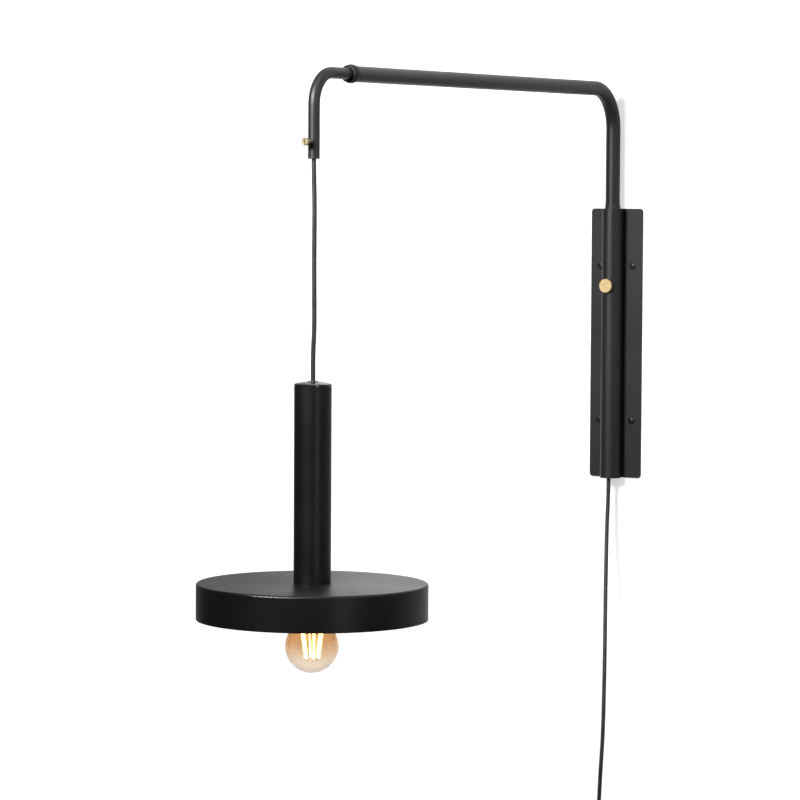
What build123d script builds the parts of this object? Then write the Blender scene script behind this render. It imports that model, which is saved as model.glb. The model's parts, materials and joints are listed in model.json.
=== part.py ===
"""Swing arm wall sconce with a telescopic arm and a height-adjustable pendant shade.

Frame: the wall is the plane Y = 0, the lamp stands out towards -Y, +Z is up, and the
origin is the centre of the back plate's wall face. Lengths are in millimetres.
"""

import os
from math import cos, pi, radians, sin, tan

from build123d import *

# ---------------------------------------------------------------- wall bracket
PLATE_WIDTH = 85.0
PLATE_HEIGHT = 400.0
PLATE_THICK = 3.0
PLATE_CORNER = 5.0
SCREW_SPACING_X = 54.0
SCREW_SPACING_Z = 230.0
SCREW_HOLE_R = 2.6
SCREW_NECK_R = 2.4
SCREW_SHANK_R = 2.2
SCREW_SHANK_LENGTH = 30.0
SCREW_TIP_LENGTH = 4.0
SCREW_HEAD_R = 4.6
SCREW_HEAD_HEIGHT = 2.8
DRIVE_LENGTH = 4.6
DRIVE_WIDTH = 0.9
DRIVE_DEPTH = 1.4

AXIS_Y = -17.0  # the mast's axis
GUIDE_R = 15.5
GUIDE_BORE_R = 13.0
BRACKET_TOP = PLATE_HEIGHT / 2
BRACKET_BOTTOM = -PLATE_HEIGHT / 2
BUSH_COLLAR_R = 11.3
BUSH_COLLAR_HEIGHT = 6.0
BUSH_DEPTH = 35.0
OUTLET_Y = -22.0  # where the mains lead leaves the outlet plug
OUTLET_TOP = BRACKET_BOTTOM + 12.0

# ---------------------------------------------------------------- arm tubes
TUBE_R = 10.6
TUBE_BORE_R = 9.1
RUNNING = 0.06  # radial clearance of a running fit
THREAD_GAP = 0.05  # radial clearance where a screw turns in its insert or pad
MAST_FOOT = -76.0
ARM_HEIGHT = 376.0
MAST_BEND = 58.0
ARM_END = 728.0  # from the mast's axis to the open end of the outer tube
CLIP_THICK = 1.2
CLIP_R = 12.4
CLIP_GROOVE_R = 9.7
GLIDE_LOW = -72.0
GLIDE_LENGTH = 30.0
CLIP_GAP = 0.4

COLLAR_R = 12.4
COLLAR_LENGTH = 16.0
LINER_LENGTH = 30.0

INNER_R = 7.6
INNER_BORE_R = 6.4
INNER_START = 430.0
REACH = 818.0  # from the mast's axis to the pendant's axis
TIP_BEND = 42.0
TIP_MOUTH = 264.8
TIP_FLANGE = 2.2
TIP_BUSH_TOP = TIP_MOUTH + 12.2
TIP_BUSH_BORE_R = 4.8
TIP_Y = AXIS_Y - REACH

# ---------------------------------------------------------------- clamp screws
KNOB_HEIGHT = 86.0
KNOB_R = 10.25
KNOB_THICK = 4.0
KNOB_BACK = 17.3  # distances along a clamp run from the tube's axis
KNOB_SHANK_R = 2.95
GRIP_SCREW_HEIGHT = 286.5
GRIP_SCREW_R = 5.1
GRIP_SCREW_THICK = 4.0
GRIP_SCREW_BACK = 17.9
GRIP_SHANK_R = 2.0
PAD_PLAY = 0.3  # end play between a screw and the pad that it pushes
SLOT_WIDTH = 1.3
SLOT_DEPTH = 1.6

# ---------------------------------------------------------------- cords
CORD_R = 3.0
PIVOT_HEIGHT = 268.0
NECK_LOW = PIVOT_HEIGHT + 3.3
NECK_LENGTH = 3.0
NECK_R = 2.9
COIL_TURN_R = 35.0
COIL_TURNS = 6
COIL_PITCH = 6.4
COIL_CENTRE = (62.0, -98.0, -735.0)  # the first turn's centre
TAIL_LENGTH = 64.0
TIE_LENGTH = 12.0
TIE_THICK = 1.2

# ---------------------------------------------------------------- pendant
PENDANT_TOP = -20.8  # the flat middle of the domed cap
CAP_RIM = -23.8  # the cap's outer edge, where the dome starts
PENDANT_R = 24.25
PENDANT_BORE_R = 22.75
CAP_FLANGE = 2.4
CAP_SKIRT = 12.0
GLAND_R = 7.5
SHADE_TOP = -280.5
SHADE_R = 150.0
SHADE_DEPTH = 46.6
SHADE_WALL = 1.5
SHADE_EDGE = 2.6
FOOT_THICK = 5.0
NUT_THICK = 5.0
NIPPLE_R = 5.0
NIPPLE_BORE_R = 3.5
HOLDER_R = 20.0
HOLDER_BORE_R = 15.2
HOLDER_LENGTH = 40.0
BULB_CENTRE = -362.3
BULB_R = 34.7
BULB_WALL = 0.8
BULB_NECK_R = 13.2
FILAMENTS = 6
FILAMENT_R = 0.9
FILAMENT_TOP = (14.5, -340.5)  # distance from the bulb's axis, and height
FILAMENT_FOOT = (8.6, -380.5)
WIRE_R = 0.3
WIRE_GAP = 0.1

CORD_GRIP_TOP = CAP_RIM - CAP_FLANGE - 1.6
CORD_GRIP_R = 8.0
CORD_GRIP_LENGTH = 24.0
DROP_CORD_END = CORD_GRIP_TOP - 9.4

os.makedirs("parts", exist_ok=True)


def save(piece, name):
    """Label a finished piece and write it as its own STEP file."""
    piece.part.label = name
    export_step(piece.part, f"parts/{name}.step")


def level(height, y=AXIS_Y, x=0.0):
    """A horizontal plane at a height, centred on a vertical axis."""
    return Plane(origin=(x, y, height))


def facing_out(distance, height, y=AXIS_Y):
    """A plane parallel to the wall that faces the room, in front of a tube's axis."""
    return Plane(origin=(0, y - distance, height), x_dir=(1, 0, 0), z_dir=(0, -1, 0))


def along_arm(distance):
    """A plane square to the arm, facing away from the wall, at a distance from the mast's axis."""
    return Plane(origin=(0, AXIS_Y - distance, ARM_HEIGHT), x_dir=(1, 0, 0), z_dir=(0, -1, 0))


def spin_about(y):
    """A plane whose first axis is radial and whose second is vertical, for turned pieces."""
    return Plane(origin=(0, y, 0), x_dir=(1, 0, 0), z_dir=(0, -1, 0))


def turned(points, y):
    """A piece turned about the vertical axis at y from (radius, height) corners."""
    with BuildPart() as piece:
        with BuildSketch(spin_about(y)):
            with BuildLine():
                Polyline(*points, close=True)
            make_face()
        revolve(axis=Axis((0, y, 0), (0, 0, 1)))
    return piece


def ring(plane, outer_r, inner_r, length):
    """A plain round ring, or a disc if inner_r is 0, extruded from a plane."""
    with BuildPart() as piece:
        with BuildSketch(plane):
            Circle(outer_r)
            if inner_r:
                Circle(inner_r, mode=Mode.SUBTRACT)
        extrude(amount=length)
    return piece


def sweep_round(start, corner, end, bend, outer_r, inner_r=0.0):
    """A round tube, or a cord, along two straight runs joined by one bend."""
    first = Plane(origin=start, z_dir=Vector(*corner) - Vector(*start))
    with BuildPart() as piece:
        with BuildLine() as route:
            FilletPolyline(start, corner, end, radius=bend)
        with BuildSketch(first):
            Circle(outer_r)
        sweep(path=route.line)
        if inner_r:
            with BuildSketch(first):
                Circle(inner_r)
            sweep(path=route.line, mode=Mode.SUBTRACT)
    return piece


# ================================================================ wall bracket
with BuildPart() as back_plate:
    with BuildSketch(Plane.XZ):
        RectangleRounded(PLATE_WIDTH, PLATE_HEIGHT, PLATE_CORNER)
        with GridLocations(SCREW_SPACING_X, SCREW_SPACING_Z, 2, 2):
            Circle(SCREW_HOLE_R, mode=Mode.SUBTRACT)
    extrude(amount=PLATE_THICK)
    front_edges = back_plate.faces().sort_by(Axis.Y)[0].outer_wire().edges()
    fillet(front_edges, radius=0.6)
    # the guide tube is let into a shallow groove down the plate
    with BuildSketch(level(BRACKET_BOTTOM)):
        Circle(GUIDE_R)
    extrude(amount=PLATE_HEIGHT, mode=Mode.SUBTRACT)
save(back_plate, "back_plate")

INSERT_NECK_R = 4.5
INSERT_LIP = 1.5
INSERT_LIP_THICK = 0.9
with BuildPart() as guide_tube:
    with BuildSketch(level(BRACKET_BOTTOM)):
        Circle(GUIDE_R)
        Circle(GUIDE_BORE_R, mode=Mode.SUBTRACT)
    extrude(amount=PLATE_HEIGHT)
    ends = guide_tube.edges().filter_by(GeomType.CIRCLE)
    fillet(ends, radius=0.5)
    with BuildSketch(facing_out(0, KNOB_HEIGHT)):
        Circle(INSERT_NECK_R)
    extrude(amount=2 * GUIDE_R, mode=Mode.SUBTRACT)
save(guide_tube, "guide_tube")

INSERT_INNER = 12.6
with BuildPart() as clamp_insert:
    with BuildSketch(facing_out(INSERT_INNER, KNOB_HEIGHT)):
        Circle(INSERT_NECK_R)
    extrude(amount=GUIDE_R - INSERT_INNER)
    with BuildSketch(facing_out(GUIDE_R, KNOB_HEIGHT)):
        Circle(INSERT_NECK_R + INSERT_LIP)
    extrude(amount=INSERT_LIP_THICK)
    with BuildSketch(facing_out(INSERT_INNER, KNOB_HEIGHT)):
        Circle(KNOB_SHANK_R + THREAD_GAP)
    extrude(amount=GUIDE_R + INSERT_LIP_THICK - INSERT_INNER, mode=Mode.SUBTRACT)
save(clamp_insert, "clamp_insert")

bush_bore = TUBE_R + RUNNING
top_bush = turned(
    [
        (bush_bore, BRACKET_TOP - BUSH_DEPTH),
        (GUIDE_BORE_R, BRACKET_TOP - BUSH_DEPTH),
        (GUIDE_BORE_R, BRACKET_TOP - 0.6),
        (BUSH_COLLAR_R, BRACKET_TOP - 0.6),
        (BUSH_COLLAR_R, BRACKET_TOP + BUSH_COLLAR_HEIGHT - 0.4),
        (BUSH_COLLAR_R - 0.4, BRACKET_TOP + BUSH_COLLAR_HEIGHT),
        (bush_bore, BRACKET_TOP + BUSH_COLLAR_HEIGHT),
    ],
    AXIS_Y,
)
save(top_bush, "top_bush")

outlet_bottom = BRACKET_BOTTOM + 1.0
with BuildPart() as outlet_plug:
    with BuildSketch(level(outlet_bottom)):
        Circle(GUIDE_BORE_R)
    extrude(amount=OUTLET_TOP - outlet_bottom)
    with BuildSketch(level(outlet_bottom, y=OUTLET_Y)):
        Circle(CORD_R)
    extrude(amount=OUTLET_TOP - outlet_bottom, mode=Mode.SUBTRACT)
save(outlet_plug, "outlet_plug")

with BuildPart() as wall_screws:
    corners = GridLocations(SCREW_SPACING_X, SCREW_SPACING_Z, 2, 2)
    with BuildSketch(Plane.XZ.offset(PLATE_THICK)):
        with corners:
            Circle(SCREW_HEAD_R)
    extrude(amount=SCREW_HEAD_HEIGHT)
    head_rims = wall_screws.edges().group_by(Axis.Y)[0]
    fillet(head_rims, radius=1.9)
    with BuildSketch(Plane.XZ.offset(PLATE_THICK + SCREW_HEAD_HEIGHT)):
        with corners:
            Rectangle(DRIVE_LENGTH, DRIVE_WIDTH)
            Rectangle(DRIVE_WIDTH, DRIVE_LENGTH)
    extrude(amount=-DRIVE_DEPTH, mode=Mode.SUBTRACT)
    with BuildSketch(Plane.XZ):
        with corners:
            Circle(SCREW_NECK_R)
    extrude(amount=PLATE_THICK)
    with BuildSketch(Plane.XZ):
        with corners:
            Circle(SCREW_SHANK_R)
    extrude(amount=-SCREW_SHANK_LENGTH)
    with BuildSketch(Plane.XZ.offset(-SCREW_SHANK_LENGTH)):
        with corners:
            Circle(SCREW_SHANK_R)
    extrude(amount=-SCREW_TIP_LENGTH, taper=25)
save(wall_screws, "wall_screws")

# ================================================================ height clamp
PAD_R = 2.6
PAD_START = 11.0
PAD_END = 12.6
STEM_R = 1.2
STEM_END = 15.8
with BuildPart() as clamp_pad:
    with BuildSketch(facing_out(PAD_START, KNOB_HEIGHT)):
        Circle(PAD_R)
    extrude(amount=PAD_END - PAD_START)
    with BuildSketch(facing_out(PAD_END, KNOB_HEIGHT)):
        Circle(STEM_R)
    extrude(amount=STEM_END - PAD_END)
save(clamp_pad, "clamp_pad")

with BuildPart() as clamp_knob:
    with BuildSketch(facing_out(KNOB_BACK, KNOB_HEIGHT)):
        Circle(KNOB_R)
    extrude(amount=KNOB_THICK)
    chamfer(clamp_knob.edges(), length=0.5)
    with BuildSketch(facing_out(PAD_END + PAD_PLAY, KNOB_HEIGHT)):
        Circle(KNOB_SHANK_R)
    extrude(amount=KNOB_BACK - PAD_END - PAD_PLAY)
    with BuildSketch(facing_out(PAD_END, KNOB_HEIGHT)):
        Circle(STEM_R + THREAD_GAP)
    extrude(amount=STEM_END + PAD_PLAY - PAD_END, mode=Mode.SUBTRACT)
save(clamp_knob, "clamp_knob")

# ================================================================ mast and outer arm
glide_ring = ring(level(GLIDE_LOW), GUIDE_BORE_R - 0.05, TUBE_R + RUNNING, GLIDE_LENGTH)
save(glide_ring, "glide_ring")

clip_heights = [
    GLIDE_LOW - CLIP_GAP - CLIP_THICK,
    GLIDE_LOW + GLIDE_LENGTH + CLIP_GAP,
]
with BuildPart() as glide_clips:
    for height in clip_heights:
        with BuildSketch(level(height)):
            Circle(CLIP_R)
            Circle(CLIP_GROOVE_R, mode=Mode.SUBTRACT)
            with Locations((0, CLIP_R)):
                Rectangle(5.0, CLIP_R, mode=Mode.SUBTRACT)
        extrude(amount=CLIP_THICK)
save(glide_clips, "glide_clips")

bent_tube = sweep_round(
    (0, AXIS_Y, MAST_FOOT),
    (0, AXIS_Y, ARM_HEIGHT),
    (0, AXIS_Y - ARM_END, ARM_HEIGHT),
    MAST_BEND,
    TUBE_R,
    TUBE_BORE_R,
)
with BuildPart() as arm_tube:
    add(bent_tube.part)
    for height in clip_heights:
        with BuildSketch(level(height)):
            Circle(TUBE_R + 1)
            Circle(CLIP_GROOVE_R, mode=Mode.SUBTRACT)
        extrude(amount=CLIP_THICK, mode=Mode.SUBTRACT)
save(arm_tube, "arm_tube")

# the collar's section, as distance beyond the tube's shoulder and radius
collar_back = ARM_END - 6.0
collar_section = Plane(
    origin=(0, AXIS_Y - collar_back, ARM_HEIGHT), x_dir=(0, -1, 0), z_dir=(1, 0, 0)
)
with BuildPart() as arm_collar:
    with BuildSketch(collar_section):
        with BuildLine():
            Spline(
                (0, TUBE_R),
                (4.5, COLLAR_R - 0.6),
                (9.0, COLLAR_R),
                (14.0, COLLAR_R - 1.0),
                (COLLAR_LENGTH, TUBE_R - 0.2),
                tangents=[(1, 0.05), (0.1, -1)],
            )
            Line((COLLAR_LENGTH, TUBE_R - 0.2), (11.0, TUBE_BORE_R))
            Line((11.0, TUBE_BORE_R), (6.0, TUBE_BORE_R))
            Line((6.0, TUBE_BORE_R), (6.0, TUBE_R))
            Line((6.0, TUBE_R), (0, TUBE_R))
        make_face()
    revolve(axis=Axis((0, 0, ARM_HEIGHT), (0, -1, 0)))
save(arm_collar, "arm_collar")

arm_liner = ring(along_arm(ARM_END - LINER_LENGTH), TUBE_BORE_R, INNER_R + RUNNING, LINER_LENGTH)
save(arm_liner, "arm_liner")

ARM_LEAD_END = 424.0
arm_lead = sweep_round(
    (0, AXIS_Y, MAST_FOOT + 8.0),
    (0, AXIS_Y, ARM_HEIGHT),
    (0, AXIS_Y - ARM_LEAD_END, ARM_HEIGHT),
    MAST_BEND,
    CORD_R,
)
save(arm_lead, "arm_lead")

# ================================================================ inner arm
GRIP_INSERT_R = 3.4
bent_inner = sweep_round(
    (0, AXIS_Y - INNER_START, ARM_HEIGHT),
    (0, TIP_Y, ARM_HEIGHT),
    (0, TIP_Y, TIP_MOUTH + TIP_FLANGE),
    TIP_BEND,
    INNER_R,
    INNER_BORE_R,
)
with BuildPart() as inner_tube:
    add(bent_inner.part)
    with BuildSketch(facing_out(0, GRIP_SCREW_HEIGHT, y=TIP_Y)):
        Circle(GRIP_INSERT_R)
    extrude(amount=2 * INNER_R, mode=Mode.SUBTRACT)
save(inner_tube, "inner_tube")

inner_glide = ring(along_arm(INNER_START), TUBE_BORE_R - RUNNING, INNER_R, 20.0)
save(inner_glide, "inner_glide")

tip_bush = turned(
    [
        (TIP_BUSH_BORE_R + 0.9, TIP_MOUTH),
        (INNER_R - 0.6, TIP_MOUTH),
        (INNER_R, TIP_MOUTH + 0.6),
        (INNER_R, TIP_MOUTH + TIP_FLANGE),
        (INNER_BORE_R, TIP_MOUTH + TIP_FLANGE),
        (INNER_BORE_R, TIP_BUSH_TOP),
        (TIP_BUSH_BORE_R, TIP_BUSH_TOP),
        (TIP_BUSH_BORE_R, TIP_MOUTH + 1.5),
    ],
    TIP_Y,
)
save(tip_bush, "tip_bush")

tip_lead = sweep_round(
    (0, AXIS_Y - INNER_START - 6.0, ARM_HEIGHT),
    (0, TIP_Y, ARM_HEIGHT),
    (0, TIP_Y, PIVOT_HEIGHT + 7.3),
    TIP_BEND,
    CORD_R,
)
save(tip_lead, "tip_lead")

# ================================================================ cord clamp at the tip
GRIP_INSERT_INNER = 5.4
GRIP_LIP = 0.9
GRIP_LIP_THICK = 0.8
with BuildPart() as tip_insert:
    with BuildSketch(facing_out(GRIP_INSERT_INNER, GRIP_SCREW_HEIGHT, y=TIP_Y)):
        Circle(GRIP_INSERT_R)
    extrude(amount=INNER_R - GRIP_INSERT_INNER)
    with BuildSketch(facing_out(INNER_R, GRIP_SCREW_HEIGHT, y=TIP_Y)):
        Circle(GRIP_INSERT_R + GRIP_LIP)
    extrude(amount=GRIP_LIP_THICK)
    with BuildSketch(facing_out(GRIP_INSERT_INNER, GRIP_SCREW_HEIGHT, y=TIP_Y)):
        Circle(GRIP_SHANK_R + THREAD_GAP)
    extrude(amount=INNER_R + GRIP_LIP_THICK - GRIP_INSERT_INNER, mode=Mode.SUBTRACT)
save(tip_insert, "tip_insert")

GRIP_PAD_START = 3.4
GRIP_PAD_END = 4.8
GRIP_PAD_R = 1.75
GRIP_STEM_R = 0.8
GRIP_STEM_END = 7.6
with BuildPart() as cord_pad:
    with BuildSketch(facing_out(GRIP_PAD_START, GRIP_SCREW_HEIGHT, y=TIP_Y)):
        Circle(GRIP_PAD_R)
    extrude(amount=GRIP_PAD_END - GRIP_PAD_START)
    with BuildSketch(facing_out(GRIP_PAD_END, GRIP_SCREW_HEIGHT, y=TIP_Y)):
        Circle(GRIP_STEM_R)
    extrude(amount=GRIP_STEM_END - GRIP_PAD_END)
save(cord_pad, "cord_pad")

with BuildPart() as cord_screw:
    with BuildSketch(facing_out(GRIP_SCREW_BACK, GRIP_SCREW_HEIGHT, y=TIP_Y)):
        Circle(GRIP_SCREW_R)
    extrude(amount=GRIP_SCREW_THICK)
    chamfer(cord_screw.edges(), length=0.5)
    with BuildSketch(facing_out(GRIP_SCREW_BACK + GRIP_SCREW_THICK, GRIP_SCREW_HEIGHT, y=TIP_Y)):
        Rectangle(SLOT_WIDTH, 2.5 * GRIP_SCREW_R)
    extrude(amount=-SLOT_DEPTH, mode=Mode.SUBTRACT)
    with BuildSketch(facing_out(GRIP_PAD_END + PAD_PLAY, GRIP_SCREW_HEIGHT, y=TIP_Y)):
        Circle(GRIP_SHANK_R)
    extrude(amount=GRIP_SCREW_BACK - GRIP_PAD_END - PAD_PLAY)
    with BuildSketch(facing_out(GRIP_PAD_END, GRIP_SCREW_HEIGHT, y=TIP_Y)):
        Circle(GRIP_STEM_R + THREAD_GAP)
    extrude(amount=GRIP_STEM_END + PAD_PLAY - GRIP_PAD_END, mode=Mode.SUBTRACT)
save(cord_screw, "cord_screw")

# ================================================================ suspension cord
cord_neck = ring(level(NECK_LOW, y=TIP_Y), NECK_R, 0, NECK_LENGTH)
save(cord_neck, "cord_neck")

with BuildPart() as drop_cord:
    with BuildSketch(level(DROP_CORD_END, y=TIP_Y)):
        Circle(CORD_R)
    extrude(amount=PIVOT_HEIGHT - DROP_CORD_END)
    with Locations((0, TIP_Y, PIVOT_HEIGHT)):
        Sphere(CORD_R)
save(drop_cord, "drop_cord")

cord_grip = turned(
    [
        (0, CORD_GRIP_TOP - CORD_GRIP_LENGTH),
        (CORD_GRIP_R - 1, CORD_GRIP_TOP - CORD_GRIP_LENGTH),
        (CORD_GRIP_R, CORD_GRIP_TOP - CORD_GRIP_LENGTH + 1),
        (CORD_GRIP_R, CORD_GRIP_TOP),
        (CORD_R + 0.3, CORD_GRIP_TOP),
        (CORD_R + 0.3, DROP_CORD_END - 0.3),
        (0, DROP_CORD_END - 0.3),
    ],
    TIP_Y,
)
save(cord_grip, "cord_grip")

# ================================================================ pendant stem
cap_under = CAP_RIM - CAP_FLANGE
pendant_tube = ring(level(SHADE_TOP, y=TIP_Y), PENDANT_R, PENDANT_BORE_R, cap_under - SHADE_TOP)
save(pendant_tube, "pendant_tube")

GLAND_NECK_R = 5.5
CAP_SKIRT_WALL = 2.0
CAP_EDGE = 0.5
DOME_MIDDLE = (17.0, PENDANT_TOP - 0.95)  # a point on the dome between its flat middle and its rim
with BuildPart() as pendant_cap:
    with BuildSketch(spin_about(TIP_Y)):
        with BuildLine():
            Polyline(
                (GLAND_R, PENDANT_TOP),
                (GLAND_NECK_R, PENDANT_TOP),
                (GLAND_NECK_R, cap_under),
                (PENDANT_BORE_R - CAP_SKIRT_WALL, cap_under),
                (PENDANT_BORE_R - CAP_SKIRT_WALL, cap_under - CAP_SKIRT),
                (PENDANT_BORE_R, cap_under - CAP_SKIRT),
                (PENDANT_BORE_R, cap_under),
                (PENDANT_R, cap_under),
                (PENDANT_R, CAP_RIM),
                (PENDANT_R - CAP_EDGE, CAP_RIM + CAP_EDGE),
            )
            ThreePointArc((PENDANT_R - CAP_EDGE, CAP_RIM + CAP_EDGE), DOME_MIDDLE, (GLAND_R, PENDANT_TOP))
        make_face()
    revolve(axis=Axis((0, TIP_Y, 0), (0, 0, 1)))
save(pendant_cap, "pendant_cap")

cap_gland = turned(
    [
        (CORD_R + 0.3, cap_under - 1.0),
        (GLAND_R - 0.5, cap_under - 1.0),
        (GLAND_R - 0.5, cap_under),
        (GLAND_NECK_R, cap_under),
        (GLAND_NECK_R, PENDANT_TOP),
        (GLAND_R, PENDANT_TOP),
        (GLAND_R - 0.5, PENDANT_TOP + 0.8),
        (CORD_R + 0.8, PENDANT_TOP + 0.8),
        (CORD_R + 0.3, PENDANT_TOP + 0.3),
    ],
    TIP_Y,
)
save(cap_gland, "cap_gland")

tube_foot = ring(level(SHADE_TOP, y=TIP_Y), PENDANT_BORE_R, NIPPLE_R, FOOT_THICK)
save(tube_foot, "tube_foot")

with BuildPart() as nipple_nut:
    with BuildSketch(level(SHADE_TOP + FOOT_THICK, y=TIP_Y)):
        RegularPolygon(radius=8.0, side_count=6)
        Circle(NIPPLE_R, mode=Mode.SUBTRACT)
    extrude(amount=NUT_THICK)
save(nipple_nut, "nipple_nut")

HOLDER_TOP = SHADE_TOP - SHADE_WALL
HOLDER_BOTTOM = HOLDER_TOP - HOLDER_LENGTH
NIPPLE_LOW = HOLDER_TOP - 10.0
NIPPLE_TOP = SHADE_TOP + FOOT_THICK + NUT_THICK + 3.0
nipple = ring(level(NIPPLE_LOW, y=TIP_Y), NIPPLE_R, NIPPLE_BORE_R, NIPPLE_TOP - NIPPLE_LOW)
save(nipple, "nipple")

pendant_lead_top = CORD_GRIP_TOP - CORD_GRIP_LENGTH - 0.4
pendant_lead = ring(level(NIPPLE_LOW, y=TIP_Y), CORD_R, 0, pendant_lead_top - NIPPLE_LOW)
save(pendant_lead, "pendant_lead")

# ================================================================ shade
with BuildPart() as shade:
    with BuildSketch(level(SHADE_TOP - SHADE_DEPTH, y=TIP_Y)):
        Circle(SHADE_R)
    extrude(amount=SHADE_DEPTH)
    fillet(shade.edges().group_by(Axis.Z)[-1], radius=SHADE_EDGE)
    with BuildSketch(level(SHADE_TOP - SHADE_DEPTH, y=TIP_Y)):
        Circle(SHADE_R - SHADE_WALL)
    extrude(amount=SHADE_DEPTH - SHADE_WALL, mode=Mode.SUBTRACT)
    with BuildSketch(level(SHADE_TOP - SHADE_DEPTH, y=TIP_Y)):
        Circle(NIPPLE_R)
    extrude(amount=SHADE_DEPTH, mode=Mode.SUBTRACT)
save(shade, "shade")

# ================================================================ lamp holder
CEILING = HOLDER_TOP - 12.0
holder_body = turned(
    [
        (NIPPLE_R, HOLDER_TOP),
        (12.0, HOLDER_TOP),
        (HOLDER_R - 1.5, HOLDER_TOP - 6.0),
        (HOLDER_R, HOLDER_TOP - 9.0),
        (HOLDER_R, HOLDER_BOTTOM + 1.0),
        (HOLDER_R - 1.0, HOLDER_BOTTOM),
        (HOLDER_BORE_R, HOLDER_BOTTOM),
        (HOLDER_BORE_R, CEILING),
        (NIPPLE_R, CEILING),
    ],
    TIP_Y,
)
save(holder_body, "holder_body")

BASE_THICK = 4.0
holder_base = ring(level(CEILING - BASE_THICK, y=TIP_Y), HOLDER_BORE_R, 2.0, BASE_THICK)
save(holder_base, "holder_base")

SHELL_LENGTH = 20.0
holder_shell = ring(
    level(CEILING - BASE_THICK - SHELL_LENGTH, y=TIP_Y), HOLDER_BORE_R, 14.4, SHELL_LENGTH
)
save(holder_shell, "holder_shell")

TONGUE_DROP = 2.6
contact_height = CEILING - BASE_THICK - TONGUE_DROP
with BuildPart() as centre_contact:
    with BuildSketch(level(CEILING - BASE_THICK - TONGUE_DROP, y=TIP_Y)):
        Rectangle(5.0, 12.0)
    extrude(amount=0.6)
    with BuildSketch(level(CEILING - BASE_THICK - TONGUE_DROP, y=TIP_Y + 5.5)):
        Rectangle(5.0, 1.0)
    extrude(amount=TONGUE_DROP)
save(centre_contact, "centre_contact")

# ================================================================ bulb
TIP_CONTACT_THICK = 1.2
bulb_contact = ring(
    level(contact_height - TIP_CONTACT_THICK, y=TIP_Y), 4.5, 0, TIP_CONTACT_THICK
)
save(bulb_contact, "bulb_contact")

INSULATOR_THICK = 3.0
insulator_top = contact_height - TIP_CONTACT_THICK
cap_top = insulator_top - INSULATOR_THICK
bulb_insulator = turned(
    [
        (0, insulator_top),
        (6.0, insulator_top),
        (11.6, cap_top),
        (0, cap_top),
    ],
    TIP_Y,
)
save(bulb_insulator, "bulb_insulator")

# the screw shell: a rolled thread with rounded ridges, then a plain skirt over the neck
THREAD_PITCH = 3.6
THREAD_TURNS = 4
CAP_WALL = 0.5
CAP_LENGTH = 21.0
thread = [(11.8, cap_top)]
for turn in range(THREAD_TURNS):
    ridge = cap_top - 1.2 - turn * THREAD_PITCH
    thread += [(13.0, ridge), (13.0, ridge - 0.9), (12.2, ridge - 2.2), (12.2, ridge - 2.8)]
cap_bottom = cap_top - CAP_LENGTH
skirt = [(BULB_NECK_R + CAP_WALL, cap_bottom + 3), (BULB_NECK_R + CAP_WALL, cap_bottom)]
inner_skin = [
    (BULB_NECK_R, cap_bottom),
    (BULB_NECK_R, cap_bottom + 2.6),
    (11.4, cap_top - 14.5),
    (11.4, cap_top),
]
bulb_cap = turned(thread + skirt + inner_skin, TIP_Y)
save(bulb_cap, "bulb_cap")

neck_top = cap_bottom + 2.4


def globe_profile(radius, neck_r, top):
    """Half the bulb's outline: a straight neck that runs into a globe."""
    shoulder = (neck_r, BULB_CENTRE + (radius**2 - neck_r**2) ** 0.5)
    side = radians(-20)
    widest = (radius * cos(side), BULB_CENTRE + radius * sin(side))
    Line((neck_r, top), shoulder)
    ThreePointArc(shoulder, widest, (0, BULB_CENTRE - radius))


with BuildPart() as bulb_glass:
    with BuildSketch(spin_about(TIP_Y)):
        with BuildLine():
            globe_profile(BULB_R, BULB_NECK_R, neck_top)
            Line((0, BULB_CENTRE - BULB_R), (0, BULB_CENTRE - BULB_R + BULB_WALL))
            globe_profile(BULB_R - BULB_WALL, BULB_NECK_R - BULB_WALL, neck_top)
            Line((BULB_NECK_R - BULB_WALL, neck_top), (BULB_NECK_R, neck_top))
        make_face()
    revolve(axis=Axis((0, TIP_Y, 0), (0, 0, 1)))
save(bulb_glass, "bulb_glass")

STEM_TOP = neck_top - 2.0
STEM_BOTTOM = STEM_TOP - 30.0
bulb_stem = turned(
    [
        (0, STEM_TOP),
        (BULB_NECK_R - BULB_WALL - 0.4, STEM_TOP),
        (6.0, STEM_TOP - 6.0),
        (3.2, STEM_TOP - 14.0),
        (2.4, STEM_TOP - 22.0),
        (2.4, STEM_BOTTOM),
        (0, STEM_BOTTOM),
    ],
    TIP_Y,
)
save(bulb_stem, "bulb_stem")

lean = Vector(FILAMENT_FOOT[0] - FILAMENT_TOP[0], 0, FILAMENT_FOOT[1] - FILAMENT_TOP[1])
with BuildPart() as filaments:
    for step in range(FILAMENTS):
        angle = 360 / FILAMENTS * step + 15
        top = Vector(FILAMENT_TOP[0], 0, 0).rotate(Axis.Z, angle)
        start = (top.X, TIP_Y + top.Y, FILAMENT_TOP[1])
        with BuildSketch(Plane(origin=start, z_dir=lean.rotate(Axis.Z, angle))):
            Circle(FILAMENT_R)
        extrude(amount=lean.length)
save(filaments, "filaments")

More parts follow.
